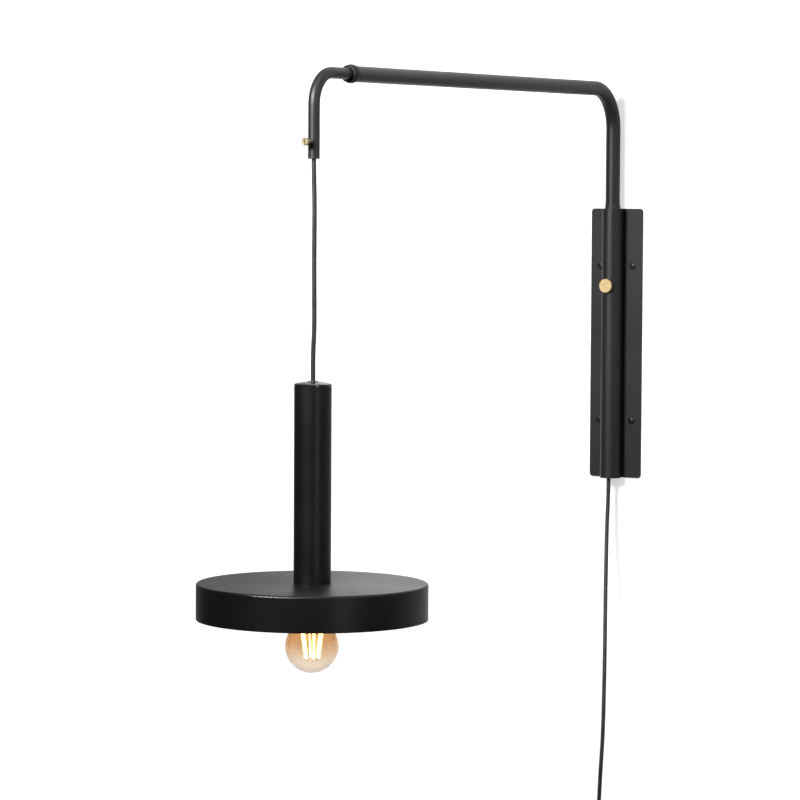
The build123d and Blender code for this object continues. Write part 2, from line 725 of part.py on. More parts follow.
# a spoke from the stem to each filament's top, and a post with a spoke to each one's foot
TOP_SPOKE_START = 3.1
top_spoke_end = FILAMENT_TOP[0] - 0.15 - FILAMENT_R - WIRE_GAP
foot_spoke_end = FILAMENT_FOOT[0] + 0.15 - FILAMENT_R - WIRE_GAP
foot_spoke_height = FILAMENT_FOOT[1] + 1.0
with BuildPart() as filament_wires:
    for step in range(FILAMENTS):
        outward = Vector(1, 0, 0).rotate(Axis.Z, 360 / FILAMENTS * step + 15)
        top_spoke = (TOP_SPOKE_START, top_spoke_end, FILAMENT_TOP[1] - 1.0)
        foot_spoke = (0, foot_spoke_end, foot_spoke_height)
        for near, far, height in (top_spoke, foot_spoke):
            start = (near * outward.X, TIP_Y + near * outward.Y, height)
            with BuildSketch(Plane(origin=start, z_dir=outward)):
                Circle(WIRE_R)
            extrude(amount=far - near)
    with BuildSketch(level(foot_spoke_height - 2 * WIRE_R, y=TIP_Y)):
        Circle(2 * WIRE_R)
    extrude(amount=STEM_BOTTOM - WIRE_GAP - foot_spoke_height + 2 * WIRE_R)
save(filament_wires, "filament_wires")

# ================================================================ mains lead below the bracket
lead_route = [
    (0.0, OUTLET_Y, OUTLET_TOP + 2.0),
    (0.0, OUTLET_Y, -222.0),
    (0.5, -27.0, -274.0),
    (5.0, -37.0, -330.0),
    (10.5, -48.5, -392.0),
    (17.0, -61.0, -455.0),
    (22.5, -73.0, -517.0),
    (27.0, -84.0, -580.0),
    (27.0, -92.0, -640.0),
    (27.0, -98.0, -729.0),
]


def corner_radii(route):
    """Bend radii that use 0.45 of the shorter run at each corner, and the length of the tube."""
    points = [Vector(*p) for p in route]
    runs = [b - a for a, b in zip(points, points[1:])]
    radii = []
    length = sum(run.length for run in runs)
    for before, after in zip(runs, runs[1:]):
        turn = radians(before.get_angle(after))
        tangent = 0.45 * min(before.length, after.length)
        radii.append(tangent / tan(turn / 2))
        length += radii[-1] * turn - 2 * tangent
    return radii, length


lead_radii, lead_length = corner_radii(lead_route)
print("mains lead bend radii", [round(r) for r in lead_radii])
with BuildPart() as wall_cord:
    with BuildLine() as lead_line:
        FilletPolyline(*lead_route, radius=lead_radii)
    with BuildSketch(Plane(origin=lead_route[0], z_dir=(0, 0, -1))):
        Circle(CORD_R)
    sweep(path=lead_line.line)
save(wall_cord, "wall_cord")
lead_volume = pi * CORD_R**2 * lead_length
print("mains lead volume over section times length", wall_cord.part.volume / lead_volume)

# the put-away length: a round coil whose turns lie side by side towards the wall
COIL_SWELL = 1.0  # the turns differ a little in size
coil_depth = COIL_PITCH * COIL_TURNS + 2 * CORD_R
coil_x, coil_y, coil_z = COIL_CENTRE
coil_front = Plane(origin=(coil_x, coil_y - CORD_R, coil_z), x_dir=(1, 0, 0), z_dir=(0, 1, 0))
with BuildPart() as cord_coil:
    with BuildSketch(coil_front):
        Circle(COIL_TURN_R + CORD_R + COIL_SWELL)
        Circle(COIL_TURN_R - CORD_R - COIL_SWELL, mode=Mode.SUBTRACT)
    extrude(amount=coil_depth)
    fillet(cord_coil.edges(), radius=2.0)
save(cord_coil, "cord_coil")

TIE_ROOM = 0.8
tie_centre = (coil_x, coil_y - CORD_R + coil_depth / 2, coil_z - COIL_TURN_R)
tie_height = 2 * (CORD_R + COIL_SWELL + TIE_ROOM)
tie_depth = coil_depth + 2 * TIE_ROOM
with BuildPart() as coil_tie:
    with BuildSketch(Plane(origin=tie_centre, x_dir=(0, 1, 0), z_dir=(1, 0, 0))):
        RectangleRounded(tie_depth + 2 * TIE_THICK, tie_height + 2 * TIE_THICK, 2.5)
        RectangleRounded(tie_depth, tie_height, 1.5, mode=Mode.SUBTRACT)
    extrude(amount=TIE_LENGTH / 2, both=True)
save(coil_tie, "coil_tie")

# the last stretch leaves the coil's wall side and carries the plug
TAIL_START = 6.0  # how far below the coil's centre the tail begins, inside the last turn
RELIEF_LENGTH = 28.0
PLUG_LENGTH = 34.0
tail_x = coil_x - COIL_TURN_R
tail_y = coil_y + COIL_PITCH * COIL_TURNS
PLUG_TOP = coil_z - TAIL_LENGTH
PLUG_FACE = PLUG_TOP - RELIEF_LENGTH - PLUG_LENGTH
cord_tail = ring(level(PLUG_TOP, y=tail_y, x=tail_x), CORD_R, 0, TAIL_LENGTH - TAIL_START)
save(cord_tail, "cord_tail")

with BuildPart() as plug_relief:
    with BuildSketch(level(PLUG_TOP, y=tail_y, x=tail_x)):
        Circle(4.0)
    with BuildSketch(level(PLUG_TOP - RELIEF_LENGTH, y=tail_y, x=tail_x)):
        Circle(6.2)
    loft()
save(plug_relief, "plug_relief")

with BuildPart() as plug_body:
    with BuildSketch(level(PLUG_TOP - RELIEF_LENGTH, y=tail_y, x=tail_x)):
        RectangleRounded(20.0, 13.0, 5.5)
    with BuildSketch(level(PLUG_FACE, y=tail_y, x=tail_x)):
        RectangleRounded(35.0, 13.7, 6.0)
    loft()
save(plug_body, "plug_body")

PIN_SPACING = 18.6
PIN_LENGTH = 19.0
with BuildPart() as plug_pins:
    with BuildSketch(level(PLUG_FACE, y=tail_y, x=tail_x)):
        with GridLocations(PIN_SPACING, 1, 2, 1):
            Circle(2.0)
    extrude(amount=-PIN_LENGTH)
    fillet(plug_pins.edges().group_by(Axis.Z)[0], radius=1.2)
save(plug_pins, "plug_pins")
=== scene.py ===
import json
from math import copysign, cos, pi, radians, sin

import bmesh
import bpy
from mathutils import Matrix, Vector


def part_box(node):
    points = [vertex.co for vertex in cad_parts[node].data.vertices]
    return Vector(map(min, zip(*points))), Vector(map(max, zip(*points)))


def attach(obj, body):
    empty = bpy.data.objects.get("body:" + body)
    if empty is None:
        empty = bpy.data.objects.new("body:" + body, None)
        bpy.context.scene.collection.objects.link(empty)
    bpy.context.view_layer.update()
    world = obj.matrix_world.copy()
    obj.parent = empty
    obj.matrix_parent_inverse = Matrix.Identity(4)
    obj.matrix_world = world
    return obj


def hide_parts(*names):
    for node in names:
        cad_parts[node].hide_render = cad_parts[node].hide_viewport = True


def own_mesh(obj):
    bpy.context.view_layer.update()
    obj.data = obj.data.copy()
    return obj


# Looks of the swing arm wall sconce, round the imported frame. Metres; the wall is Y = 0,
# the lamp stands out towards -Y and +Z is up.
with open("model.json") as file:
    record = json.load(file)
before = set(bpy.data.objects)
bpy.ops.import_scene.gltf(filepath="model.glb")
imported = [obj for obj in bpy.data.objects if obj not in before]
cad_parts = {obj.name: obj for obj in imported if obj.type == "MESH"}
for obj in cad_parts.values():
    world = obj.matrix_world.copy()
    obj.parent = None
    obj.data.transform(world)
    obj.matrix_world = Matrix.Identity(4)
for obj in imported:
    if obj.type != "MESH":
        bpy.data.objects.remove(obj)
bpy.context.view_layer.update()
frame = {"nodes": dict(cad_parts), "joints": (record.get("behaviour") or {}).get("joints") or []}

MM = 0.001
TURN = 2 * pi


def node_centre(name):
    """The middle of a CAD node's box."""
    low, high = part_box(name)
    return (low + high) / 2


# ------------------------------------------------------------------ camera
CAMERA_PLACE = (2.4058, -4.5721, 0.2250)
CAMERA_AZIMUTH = 31.33
CAMERA_DOWN = 3.46
CAMERA_ROLL = 0.31
CAMERA_LENS = 155.91


def make_camera():
    data = bpy.data.cameras.new("camera")
    data.sensor_width = 36.0
    data.lens = CAMERA_LENS
    data.clip_start = 0.05
    data.clip_end = 60.0
    camera = bpy.data.objects.new("camera", data)
    turned = Matrix.Rotation(radians(CAMERA_AZIMUTH), 4, "Z")
    tilted = Matrix.Rotation(radians(90 - CAMERA_DOWN), 4, "X")
    rolled = Matrix.Rotation(radians(CAMERA_ROLL), 4, "Z")
    camera.matrix_world = Matrix.Translation(CAMERA_PLACE) @ turned @ tilted @ rolled
    bpy.context.scene.collection.objects.link(camera)
    bpy.context.scene.camera = camera


make_camera()


# ------------------------------------------------------------------ node materials
class Shader:
    """A node material that is built up one node at a time."""

    def __init__(self, name):
        self.material = bpy.data.materials.new(name)
        self.material.use_nodes = True
        self.tree = self.material.node_tree
        self.tree.nodes.clear()
        self.output = self.tree.nodes.new("ShaderNodeOutputMaterial")
        coordinates = self.tree.nodes.new("ShaderNodeTexCoord")
        self.place = coordinates.outputs["Object"]

    def node(self, kind, inputs, **settings):
        """A node of a kind; inputs are numbers, colours or the outputs of other nodes."""
        made = self.tree.nodes.new(kind)
        for key, value in settings.items():
            setattr(made, key, value)
        for key, value in inputs.items():
            if isinstance(value, bpy.types.NodeSocket):
                self.tree.links.new(value, made.inputs[key])
            else:
                made.inputs[key].default_value = value
        return made

    def noise(self, scale, detail=2.0, place=None):
        """Noise from 0 to 1 over the row frame, with scale in cells per metre."""
        inputs = {"Vector": place or self.place, "Scale": scale, "Detail": detail}
        return self.node("ShaderNodeTexNoise", inputs).outputs["Fac"]

    def spots(self, scale):
        """Distance to the nearest of many scattered points, in cells."""
        inputs = {"Vector": self.place, "Scale": scale}
        return self.node("ShaderNodeTexVoronoi", inputs).outputs["Distance"]

    def stretched(self, factors):
        """The row frame with each axis scaled, which draws a pattern out along an axis."""
        inputs = {0: self.place, 1: factors}
        return self.node("ShaderNodeVectorMath", inputs, operation="MULTIPLY").outputs[0]

    def maths(self, operation, first, second=0.0, third=0.0):
        """The result of a sum or a function of up to three values."""
        inputs = {0: first, 1: second, 2: third}
        return self.node("ShaderNodeMath", inputs, operation=operation).outputs[0]

    def ranged(self, value, low, high, start=0.0, end=1.0):
        """value, from start to end, drawn out to low to high."""
        inputs = {0: value, 1: start, 2: end, 3: low, 4: high}
        return self.node("ShaderNodeMapRange", inputs).outputs[0]

    def blended(self, share, first, second):
        """A colour between two others."""
        inputs = {"Factor": share, "A": first, "B": second}
        mixed = self.node("ShaderNodeMix", inputs, data_type="RGBA")
        return mixed.outputs["Result"]

    def axis(self, name):
        """One coordinate of the row frame."""
        return self.node("ShaderNodeSeparateXYZ", {0: self.place}).outputs[name]

    def raised(self, height, distance, strength=1.0, under=None):
        """A bump normal from a height between 0 and 1, distance metres deep."""
        inputs = {"Height": height, "Distance": distance, "Strength": strength}
        if under is not None:
            inputs["Normal"] = under
        return self.node("ShaderNodeBump", inputs).outputs["Normal"]

    def surface(self, inputs):
        """The Principled surface and the finished material."""
        shader = self.node("ShaderNodeBsdfPrincipled", inputs)
        self.tree.links.new(shader.outputs[0], self.output.inputs["Surface"])
        return self.material

    def looked_at(self):
        """1 where a surface is seen directly or through glass, and 0 where it lights others."""
        rays = self.node("ShaderNodeLightPath", {})
        direct, through = rays.outputs["Is Camera Ray"], rays.outputs["Is Transmission Ray"]
        return self.maths("MAXIMUM", direct, through)

    def one_sided(self, paint):
        """The finished material, with nothing to see from a face's back."""
        behind = self.node("ShaderNodeNewGeometry", {}).outputs["Backfacing"]
        nothing = self.node("ShaderNodeBsdfTransparent", {})
        inputs = {0: behind, 1: paint.outputs[0], 2: nothing.outputs[0]}
        shown = self.node("ShaderNodeMixShader", inputs)
        self.tree.links.new(shown.outputs[0], self.output.inputs["Surface"])
        return self.material


def grey(value, warm=0.0):
    """A linear grey, a little warmer than neutral if warm is above 0."""
    return (value * (1 + warm), value, value * (1 - warm), 1.0)


def painted_metal(name, tone, roughness, shine, warm=0.02):
    """Fine powder coat: a sandy skin with broad, faint changes of tone and gloss."""
    s = Shader(name)
    broad = s.noise(7.0, 3.0)
    grain = s.noise(1900.0, 3.0)
    orange_peel = s.noise(420.0, 1.0)
    mottle = s.ranged(s.noise(900.0, 2.0), 0.3, 0.7)
    share = s.maths("MULTIPLY_ADD", broad, 0.6, s.maths("MULTIPLY", mottle, 0.4))
    tones = s.blended(share, grey(tone * 0.78, warm), grey(tone * 1.22, warm))
    gloss = s.ranged(broad, roughness - 0.04, roughness + 0.05, 0.3, 0.7)
    skin = s.raised(orange_peel, 0.00006, 0.5)
    skin = s.raised(grain, 0.00003, 0.6, under=skin)
    return s.surface({
        "Base Color": tones, "Roughness": gloss, "Normal": skin, "Specular IOR Level": shine,
    })


def moulded_plastic(name, tone, roughness):
    """Moulded plastic with a fine spark-eroded texture."""
    s = Shader(name)
    texture = s.spots(1500.0)
    share = s.ranged(s.noise(60.0, 3.0), 0.0, 1.0, 0.3, 0.7)
    tones = s.blended(share, grey(tone * 0.8), grey(tone * 1.2))
    gloss = s.ranged(s.noise(35.0, 2.0), roughness - 0.05, roughness + 0.05, 0.3, 0.7)
    return s.surface({
        "Base Color": tones, "Roughness": gloss, "IOR": 1.48,
        "Normal": s.raised(texture, 0.00004, 0.5),
    })


def turned_metal(name, light, dark, roughness, centre, ring_pitch):
    """Metal faced on a lathe: fine rings round a line along Y, with a little tarnish."""
    s = Shader(name)
    shifted = s.node("ShaderNodeVectorMath", {0: s.place, 1: centre}, operation="SUBTRACT")
    across = {0: shifted.outputs[0], 1: (1.0, 0.0, 1.0)}
    flat = s.node("ShaderNodeVectorMath", across, operation="MULTIPLY")
    length = s.node("ShaderNodeVectorMath", {0: flat.outputs[0]}, operation="LENGTH")
    wobble = s.maths("MULTIPLY", s.noise(500.0, 2.0), ring_pitch)
    distance = s.maths("ADD", length.outputs["Value"], wobble)
    rings = s.maths("SINE", s.maths("MULTIPLY", distance, TURN / ring_pitch))
    height = s.ranged(rings, 0.0, 1.0, -1.0, 1.0)
    tarnish = s.ranged(s.noise(260.0, 4.0), 0.0, 1.0, 0.35, 0.75)
    gloss = s.ranged(s.noise(700.0, 2.0), roughness - 0.05, roughness + 0.07, 0.3, 0.7)
    return s.surface({
        "Base Color": s.blended(tarnish, light, dark), "Metallic": 1.0,
        "Roughness": gloss, "Normal": s.raised(height, 0.00002, 0.6),
    })


def bare_metal(name, tone, roughness, warm=0.0):
    """Plain steel or plating with fine drawn scratches along the vertical."""
    s = Shader(name)
    scratches = s.noise(2600.0, 2.0, place=s.stretched((1.0, 1.0, 0.06)))
    stain = s.ranged(s.noise(180.0, 3.0), 0.0, 1.0, 0.35, 0.7)
    gloss = s.ranged(scratches, roughness - 0.06, roughness + 0.08, 0.3, 0.7)
    return s.surface({
        "Base Color": s.blended(stain, grey(tone, warm), grey(tone * 0.8, warm)),
        "Metallic": 1.0, "Roughness": gloss,
        "Normal": s.raised(scratches, 0.00001, 0.5),
    })


def cord_jacket(name, tone, roughness):
    """Extruded cord jacket: smooth, with faint draw lines along its length."""
    s = Shader(name)
    lines = s.noise(1500.0, 2.0, place=s.stretched((1.0, 1.0, 0.05)))
    scuffs = s.ranged(s.noise(90.0, 4.0), 0.0, 1.0, 0.35, 0.7)
    gloss = s.ranged(scuffs, roughness - 0.05, roughness + 0.08)
    return s.surface({
        "Base Color": s.blended(scuffs, grey(tone * 0.85), grey(tone * 1.25)),
        "Roughness": gloss, "IOR": 1.5, "Normal": s.raised(lines, 0.00004, 0.5),
    })


def glazed_ceramic(name):
    """Glazed ceramic with small darker speckles."""
    s = Shader(name)
    speckle = s.ranged(s.spots(600.0), 1.0, 0.0, 0.0, 0.12)
    body = s.blended(speckle, (0.78, 0.76, 0.71, 1.0), (0.55, 0.5, 0.44, 1.0))
    return s.surface({
        "Base Color": body, "Roughness": s.ranged(s.noise(50.0), 0.12, 0.28),
        "IOR": 1.52, "Normal": s.raised(s.noise(200.0, 2.0), 0.00005, 0.4),
    })


FILAMENT_GLOW = 12.0


def lit_filament(name):
    """Warm white phosphor that glows, a little weaker at random places."""
    s = Shader(name)
    coat = s.noise(900.0, 2.0)
    return s.surface({
        "Base Color": s.blended(coat, (0.9, 0.62, 0.18, 1.0), (0.95, 0.7, 0.26, 1.0)),
        "Roughness": 0.5,
        "Emission Color": s.blended(coat, (1.0, 0.60, 0.24, 1.0), (1.0, 0.66, 0.30, 1.0)),
        "Emission Strength": FILAMENT_GLOW,
    })


AMBER = (0.77, 0.55, 0.345, 1.0)
CLEAR = (0.895, 0.81, 0.72, 1.0)
TINT_HEIGHTS = (0.022, 0.050)  # the tint comes up between these heights over the globe's bottom


def tinted_glass(name):
    """Globe glass with a gold tint that fades out towards the globe's bottom."""
    s = Shader(name)
    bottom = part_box("bulb_glass")[0].z
    streaks = s.noise(26.0, 3.0, place=s.stretched((1.0, 1.0, 0.35)))
    rise = s.maths("MULTIPLY_ADD", streaks, 0.018, s.axis("Z"))
    share = s.ranged(rise, 0.0, 1.0, bottom + TINT_HEIGHTS[0], bottom + TINT_HEIGHTS[1])
    tint = s.blended(share, CLEAR, AMBER)
    ripple = s.raised(s.noise(60.0, 2.0), 0.0002, 0.25)
    glass = s.node("ShaderNodeBsdfPrincipled", {
        "Base Color": tint, "Transmission Weight": 1.0, "Roughness": 0.01, "IOR": 1.47,
        "Normal": ripple,
    })
    for_lamps = s.node("ShaderNodeBsdfTransparent", {"Color": tint})
    rays = s.node("ShaderNodeLightPath", {})
    through = s.node("ShaderNodeMixShader", {
        0: rays.outputs["Is Shadow Ray"], 1: glass.outputs[0], 2: for_lamps.outputs[0],
    })
    s.tree.links.new(through.outputs[0], s.output.inputs["Surface"])
    return s.material


def clear_glass(name):
    """The bulb's inner glass, a little uneven."""
    s = Shader(name)
    return s.surface({
        "Base Color": s.blended(s.noise(120.0), (0.95, 0.97, 0.96, 1.0), (0.9, 0.94, 0.93, 1.0)),
        "Transmission Weight": 1.0, "Roughness": 0.03, "IOR": 1.5,
        "Normal": s.raised(s.noise(90.0), 0.0002, 0.3),
    })


# ------------------------------------------------------------------ cords
# the lead's route from the outlet plug to its coil; lengths of the lead, the plug and the tie
# are in millimetres, as in the part's source
ROUTE = [
    (0.0, -22.0, -186.0),
    (0.0, -22.0, -222.0),
    (0.5, -27.0, -274.0),
    (5.0, -37.0, -330.0),
    (10.5, -48.5, -392.0),
    (17.0, -61.0, -455.0),
    (22.5, -73.0, -517.0),
    (27.0, -84.0, -580.0),
    (27.0, -92.0, -640.0),
    (27.0, -98.0, -729.0),
]
CORD_DIAMETER = 0.006
COIL_MIDDLE = (62.0, -98.0, -735.0)
COIL_R = 35.0
COIL_TURNS = 6
COIL_PITCH = 6.4
COIL_SWELL = 0.8  # how far the loosest turn stands out
COIL_SWELL_RATE = 2.1  # radians of the swell's wave for each turn
POINTS_A_TURN = 16
TAIL_HEIGHTS = (-756.0, -780.0, -803.0)  # the tail hangs from the coil down into the plug


def coil_points():
    """Control points of the put-away turns: round and side by side, gathered at the tie."""
    step = TURN / POINTS_A_TURN
    points = []
    for i in range(COIL_TURNS * POINTS_A_TURN):
        angle = pi + (i + 0.5) * step
        turns_made = (i + 0.5) / POINTS_A_TURN
        loose = COIL_SWELL * sin(COIL_SWELL_RATE * turns_made) * (1 + sin(angle)) / 2
        radius = (COIL_R + loose) / cos(step / 2)
        points.append((
            COIL_MIDDLE[0] + radius * cos(angle),
            COIL_MIDDLE[1] + COIL_PITCH * turns_made,
            COIL_MIDDLE[2] + radius * sin(angle),
        ))
    return points


def smooth_line(name, points, bevel=0.0):
    """A NURBS curve with these millimetre control points."""
    data = bpy.data.curves.new(name, "CURVE")
    data.dimensions = "3D"
    data.resolution_u = 8
    spline = data.splines.new("NURBS")
    spline.points.add(len(points) - 1)
    for point, place in zip(spline.points, points):
        point.co = (*(value * MM for value in place), 1.0)
    spline.order_u = 3
    spline.use_endpoint_u = True
    data.bevel_depth = bevel
    data.bevel_resolution = 7
    data.use_fill_caps = True
    curve = bpy.data.objects.new(name, data)
    bpy.context.scene.collection.objects.link(curve)
    return curve


def make_mains_lead(material):
    """The whole lead as one curve: down the wall, round the coil and into the plug."""
    tail_x = COIL_MIDDLE[0] - COIL_R
    tail_y = COIL_MIDDLE[1] + COIL_PITCH * COIL_TURNS
    tail = [(tail_x, tail_y, height) for height in TAIL_HEIGHTS]
    lead = smooth_line("mains_lead", ROUTE + coil_points() + tail, bevel=CORD_DIAMETER / 2)
    lead.data.materials.append(material)
    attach(lead, "wall_bracket")
    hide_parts("wall_cord", "cord_coil", "cord_tail")
    return lead


def line_points(name, points):
    """Points read from the smooth line through some control points, in metres."""
    curve = smooth_line(name, points)
    mesh = bpy.data.meshes.new_from_object(curve)
    places = [vertex.co.copy() for vertex in mesh.vertices]
    data = curve.data
    bpy.data.meshes.remove(mesh)
    bpy.data.objects.remove(curve)
    bpy.data.curves.remove(data)
    return places


CORD_SIDES = 20
SHARP_EDGE = radians(40)


def tube_along(name, path, radius, material):
    """A closed round tube that follows a path without twisting."""
    shell = bmesh.new()
    rings = []
    across = Vector((1.0, 0.0, 0.0))
    for i, place in enumerate(path):
        ahead = path[min(i + 1, len(path) - 1)] - path[max(i - 1, 0)]
        ahead.normalize()
        across = (across - ahead * across.dot(ahead)).normalized()
        beside = ahead.cross(across)
        ring = []
        for k in range(CORD_SIDES):
            angle = TURN * k / CORD_SIDES
            ring.append(shell.verts.new(place + radius * (across * cos(angle) + beside * sin(angle))))
        rings.append(ring)
    join_rings(shell, rings)
    shell.faces.new(reversed(rings[0]))
    shell.faces.new(rings[-1])
    return finish_mesh(name, shell, material)


def join_rings(shell, rings):
    """Faces between each ring of vertices and the next."""
    for ring, following in zip(rings, rings[1:]):
        for k in range(len(ring)):
            after = (k + 1) % len(ring)
            shell.faces.new((ring[k], ring[after], following[after], following[k]))


def finish_mesh(name, shell, material):
    """A mesh object from a bmesh, shaded smooth except over sharp edges."""
    bmesh.ops.recalc_face_normals(shell, faces=shell.faces)
    for face in shell.faces:
        face.smooth = True
    for edge in shell.edges:
        if len(edge.link_faces) == 2 and edge.calc_face_angle(0.0) > SHARP_EDGE:
            edge.smooth = False
    mesh = bpy.data.meshes.new(name)
    shell.to_mesh(mesh)
    shell.free()
    made = bpy.data.objects.new(name, mesh)
    mesh.materials.append(material)
    bpy.context.scene.collection.objects.link(made)
    return made


CORD_BOW = 1.5  # how far the tight cord stands off a straight line, in millimetres
# its slight wave: shares of its length from the top, and of the bow; straight below, because
# the lower end slides through the gland when the pendant is raised
CORD_WAVE = (
    (0.0, 0.0), (0.05, 0.0), (0.20, 1.0), (0.42, 0.7), (0.60, 1.0), (0.72, 1.2),
    (0.82, 0.0), (0.91, 0.0), (1.0, 0.0),
)


def swing_pivot():
    """Where the suspension cord leaves the arm's tip, which is where it swings."""
    swing = next(joint for joint in frame["joints"] if joint["name"] == "swing_side")
    return Vector(swing["pos_m"])


def make_suspension_cord(material):
    """The cord between the arm's tip and the pendant, which gets shorter as the pendant rises."""
    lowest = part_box("drop_cord")[0]
    middle = node_centre("drop_cord")
    top = swing_pivot()
    length = top.z - lowest.z
    route = [
        (middle.x / MM + bow * CORD_BOW, middle.y / MM, (top.z - share * length) / MM)
        for share, bow in CORD_WAVE
    ]
    path = line_points("suspension_line", route)
    cord = tube_along("suspension_cord", path, CORD_DIAMETER / 2, material)
    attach(cord, "drop_cord")
    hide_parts("drop_cord")
    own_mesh(cord)


# ------------------------------------------------------------------ plug, tie and filaments
def lofted(name, centres, sections, body, material, sides=48):
    """Closed shells round upright lines, through level outlines.

    A section is its height, its half sizes across and in depth, and the power of its outline,
    2 for a round one and more for a squarer one. All of it is in millimetres.
    """
    shell = bmesh.new()
    for centre_x, centre_y in centres:
        rings = []
        for height, half_x, half_y, power in sections:
            ring = []
            for k in range(sides):
                along, aside = cos(TURN * k / sides), sin(TURN * k / sides)
                x = centre_x + half_x * copysign(abs(along) ** (2 / power), along)
                y = centre_y + half_y * copysign(abs(aside) ** (2 / power), aside)
                ring.append(shell.verts.new((x * MM, y * MM, height * MM)))
            rings.append(ring)
        join_rings(shell, rings)
        shell.faces.new(rings[0])
        shell.faces.new(rings[-1])
    made = finish_mesh(name, shell, material)
    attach(made, body)
    return made


RELIEF_TOP = -799.0
RELIEF_FOOT = -827.0
RELIEF_RADII = (4.0, 6.2)
RIBS = 8
RIB_SHAPE = ((0.0, 0.4), (0.12, 0.0), (0.62, 0.0), (0.74, 0.8), (0.94, 0.8))  # share, how deep
ROUND = 2.0  # the power of a round outline
PLUG_FACE = -861.0
PLUG_TOP_HALF = (10.0, 6.5)
PLUG_FACE_HALF = (17.5, 6.85)
PLUG_SQUARENESS = 3.4
PLUG_FLATNESS = 0.6  # what is taken off in depth, for each millimetre across
# how far down from the plug's top or up from its face, and how much is taken off there
PLUG_TOP_ROUNDING = ((0.0, 2.2), (0.4, 1.1), (1.1, 0.4), (2.2, 0.0))
PLUG_FACE_ROUNDING = ((1.4, 0.0), (0.5, 0.3), (0.0, 0.9))
GRIPS = 6
GRIP_START = 5.0
GRIP_PITCH = 2.8
GRIP_SHAPE = ((0.0, 0.0), (0.4, 0.7), (1.2, 0.7), (1.6, 0.0))
PIN_PLACES = (-9.3, 9.3)
SLEEVE_R = 2.0
PIN_R = 1.85
PIN_END = -880.0
PIN_ROUNDING = ((1.0, 1.0), (0.45, 0.85), (0.0, 0.45))  # height over the pin's end, share of PIN_R
ROOT = PLUG_FACE - 0.01  # pins and sleeves start a hair below the plug's face
SLEEVE_END = -871.0
SLEEVE_CHAMFER = 0.4
SLEEVE_LIP = 0.02
PLUG_X = COIL_MIDDLE[0] - COIL_R
PLUG_Y = COIL_MIDDLE[1] + COIL_PITCH * COIL_TURNS


def make_relief(material):
    """The ribbed taper where the cord enters the plug."""
    pitch = (RELIEF_TOP - RELIEF_FOOT) / RIBS
    sections = []
    for rib in range(RIBS):
        for share, sunk in RIB_SHAPE:
            down = (rib + share) / RIBS
            radius = RELIEF_RADII[0] + (RELIEF_RADII[1] - RELIEF_RADII[0]) * down - sunk
            sections.append((RELIEF_TOP - (rib + share) * pitch, radius, radius, ROUND))
    sections.append((RELIEF_FOOT, RELIEF_RADII[1], RELIEF_RADII[1], ROUND))
    relief = lofted("ribbed_relief", [(PLUG_X, PLUG_Y)], sections, "wall_bracket", material, sides=32)
    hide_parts("plug_relief")
    return relief


def make_plug_body(material):
    """The plug's moulding: rounded ends, and finger grips across its sides."""
    length = RELIEF_FOOT - PLUG_FACE
    sections = []

    def add(down, less):
        share = down / length
        half_x = PLUG_TOP_HALF[0] + (PLUG_FACE_HALF[0] - PLUG_TOP_HALF[0]) * share
        half_y = PLUG_TOP_HALF[1] + (PLUG_FACE_HALF[1] - PLUG_TOP_HALF[1]) * share
        half_x -= less
        half_y -= PLUG_FLATNESS * less
        sections.append((RELIEF_FOOT - down, half_x, half_y, PLUG_SQUARENESS))

    for down, less in PLUG_TOP_ROUNDING:
        add(down, less)
    for grip in range(GRIPS):
        start = GRIP_START + grip * GRIP_PITCH
        for step, less in GRIP_SHAPE:
            add(start + step, less)
    for from_face, less in PLUG_FACE_ROUNDING:
        add(length - from_face, less)
    body = lofted("gripped_plug_body", [(PLUG_X, PLUG_Y)], sections, "wall_bracket", material, sides=64)
    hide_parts("plug_body")
    return body


def make_pins(metal, plastic):
    """The two pins with rounded ends, and the sleeve round each one's root."""
    places = [(PLUG_X + place, PLUG_Y) for place in PIN_PLACES]
    sections = [(ROOT, PIN_R, PIN_R, ROUND)]
    for above, share in PIN_ROUNDING:
        sections.append((PIN_END + above, PIN_R * share, PIN_R * share, ROUND))
    pins = lofted("round_pins", places, sections, "wall_bracket", metal, sides=24)
    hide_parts("plug_pins")
    sleeve = [
        (ROOT, SLEEVE_R, SLEEVE_R, ROUND),
        (SLEEVE_END + SLEEVE_CHAMFER, SLEEVE_R, SLEEVE_R, ROUND),
        (SLEEVE_END, PIN_R + SLEEVE_LIP, PIN_R + SLEEVE_LIP, ROUND),
    ]
    sleeves = lofted("pin_sleeves", places, sleeve, "wall_bracket", plastic, sides=24)
    return [pins, sleeves]


TIE_DEPTH = 48.4  # the strap's own outside, towards the wall
TIE_HEIGHT = 12.0
TIE_THICK = 1.2
TIE_WIDTH = 12.0
TIE_CORNER = 2.5
TIE_LAP = 17.0  # how far the strap's end lies over its start
TIE_GAP = 0.1  # between the two layers
TIE_RISE = 0.3  # what the strap climbs before it meets its start
TIE_END = ((0.5, 1.0), (0.85, 0.97), (0.95, 0.85), (1.0, 0.55))  # shares of the lap and the width
TIE_CORNER_STEPS = 4


def tie_loop(outward):
    """The strap's outside line in depth and height, moved outward, from the front's middle."""
    depth, height = TIE_DEPTH / 2 + outward, TIE_HEIGHT / 2 + outward
    corner = TIE_CORNER + outward
    loop = [(-depth, 0.0)]
    for start, side, level in ((pi, -1, -1), (1.5 * pi, 1, -1), (0.0, 1, 1), (0.5 * pi, -1, 1)):
        for k in range(TIE_CORNER_STEPS + 1):
            angle = start + k * pi / 2 / TIE_CORNER_STEPS
            loop.append((
                side * (depth - corner) + corner * cos(angle),
                level * (height - corner) + corner * sin(angle),
            ))
    return loop


